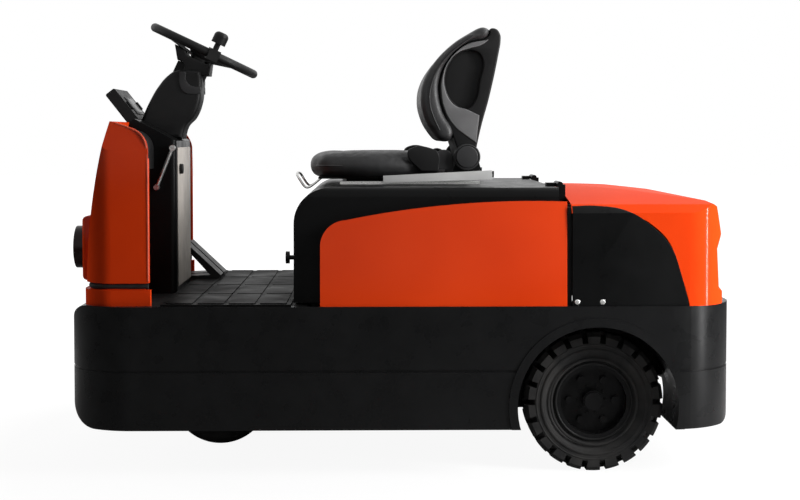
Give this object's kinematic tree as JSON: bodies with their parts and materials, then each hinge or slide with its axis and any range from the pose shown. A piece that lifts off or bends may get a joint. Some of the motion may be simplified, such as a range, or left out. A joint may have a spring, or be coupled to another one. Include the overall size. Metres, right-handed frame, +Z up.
{
  "type": "electric tow tractor",
  "caption": "Airport baggage tug with a steered front wheel, curved front cowl, flat footwell, tilting battery hood with a seat, and a rear tow coupling.",
  "frame": {"origin": "on the ground at the middle of the overall box, the tow coupling included", "axes": "front of the vehicle along -X, its left side along -Y, up along +Z"},
  "size_m": [2.055, 1.088, 1.3666],
  "materials": {
    "apron_paint": "satin black paint",
    "orange_paint": "gloss orange-red paint",
    "black_plastic": "grained black plastic",
    "hood_paint": "satin black paint",
    "frame_paint": "matt black paint",
    "rubber": "ribbed black rubber",
    "tyre": "solid tyre rubber",
    "rim_paint": "dark painted steel",
    "steel": "bare bright steel",
    "cast_iron": "black painted casting",
    "seat_cover": "black grained vinyl",
    "seat_shell": "dark grey plastic",
    "lamp": "orange-red moulding with a lamp",
    "tail_lamp": "red lens",
    "battery": "dark grey casing",
    "wheel_grip": "moulded black grip"
  },
  "bodies": {
    "truck": {"front_bumper": "apron_paint", "rear_bumper": "apron_paint", "apron_left": "apron_paint", "apron_right": "apron_paint", "wheel_arch_left": "black_plastic", "wheel_arch_right": "black_plastic", "rail_left": "frame_paint", "rail_right": "frame_paint", "cross_members": "frame_paint", "turret_bridge": "frame_paint", "floor_plate": "frame_paint", "floor_mat": "rubber", "front_cowl": "orange_paint", "cowl_base": "orange_paint", "headlamp_left": "lamp", "headlamp_right": "lamp", "console": "black_plastic", "dash_cover": "black_plastic", "column_head": "black_plastic", "column_cover": "black_plastic", "instrument_panel": "black_plastic", "column_strut": "steel", "brake_pedal": "cast_iron", "accelerator_pedal": "cast_iron", "battery_block": "battery", "bulkhead": "frame_paint", "side_panel_left": "orange_paint", "side_panel_right": "orange_paint", "rear_hood": "orange_paint", "rear_inset_left": "black_plastic", "rear_inset_right": "black_plastic", "tail_lamp_left": "tail_lamp", "tail_lamp_right": "tail_lamp", "rear_axle": "cast_iron", "drive_motor": "cast_iron", "tow_coupling": "cast_iron"},
    "turret": {"steer_turret": "cast_iron", "front_axle": "steel"},
    "front_wheel": {"front_tyre": "tyre", "front_rim": "rim_paint"},
    "rear_wheel_left": {"rear_tyre_left": "tyre", "rear_rim_left": "rim_paint"},
    "rear_wheel_right": {"rear_tyre_right": "tyre", "rear_rim_right": "rim_paint"},
    "steering_wheel": {"hand_wheel": "wheel_grip", "spinner_knob": "wheel_grip"},
    "hood": {"battery_hood": "hood_paint", "hood_knob": "black_plastic", "seat_rails": "steel"},
    "seat": {"seat_frame": "steel", "seat_cushion": "seat_cover", "slide_handle": "steel", "recline_knobs": "black_plastic"},
    "backrest": {"backrest_cushion": "seat_cover", "backrest_shell": "seat_shell"},
    "drop_pin": {"tow_pin": "steel"}
  },
  "joints": [
    {"name": "turret_steer", "type": "hinge", "parent": "truck", "child": "turret", "pos_m": [-0.6215, 0, 0.385], "axis": [0, 0, 1], "range_deg": [-80, 80]},
    {"name": "front_wheel_roll", "type": "hinge", "parent": "turret", "child": "front_wheel", "pos_m": [-0.6215, 0, 0.16], "axis": [0, 1, 0], "continuous": true},
    {"name": "rear_left_roll", "type": "hinge", "parent": "truck", "child": "rear_wheel_left", "pos_m": [0.5355, -0.4, 0.208], "axis": [0, 1, 0], "continuous": true},
    {"name": "rear_right_roll", "type": "hinge", "parent": "truck", "child": "rear_wheel_right", "pos_m": [0.5355, 0.4, 0.208], "axis": [0, 1, 0], "continuous": true},
    {"name": "hand_wheel_turn", "type": "hinge", "parent": "truck", "child": "steering_wheel", "pos_m": [-0.6725, 0, 1.278], "axis": [0.4289, 0, 0.9033], "range_deg": [-480, 480]},
    {"name": "hood_tilt", "type": "hinge", "parent": "truck", "child": "hood", "pos_m": [0.4385, 0, 0.856], "axis": [0, 1, 0], "range_deg": [0, 60]},
    {"name": "seat_slide", "type": "slide", "parent": "hood", "child": "seat", "axis": [-1, 0, 0], "range_m": [0, 0.1]},
    {"name": "backrest_recline", "type": "hinge", "parent": "seat", "child": "backrest", "pos_m": [0.1665, 0, 0.937], "axis": [0, 1, 0], "range_deg": [-5, 18]},
    {"name": "tow_pin_lift", "type": "slide", "parent": "truck", "child": "drop_pin", "axis": [0, 0, 1], "range_m": [0, 0.09]}
  ],
  "couplings": [
    {"joint": "hand_wheel_turn", "follows": "turret_steer", "ratio": 6}
  ]
}
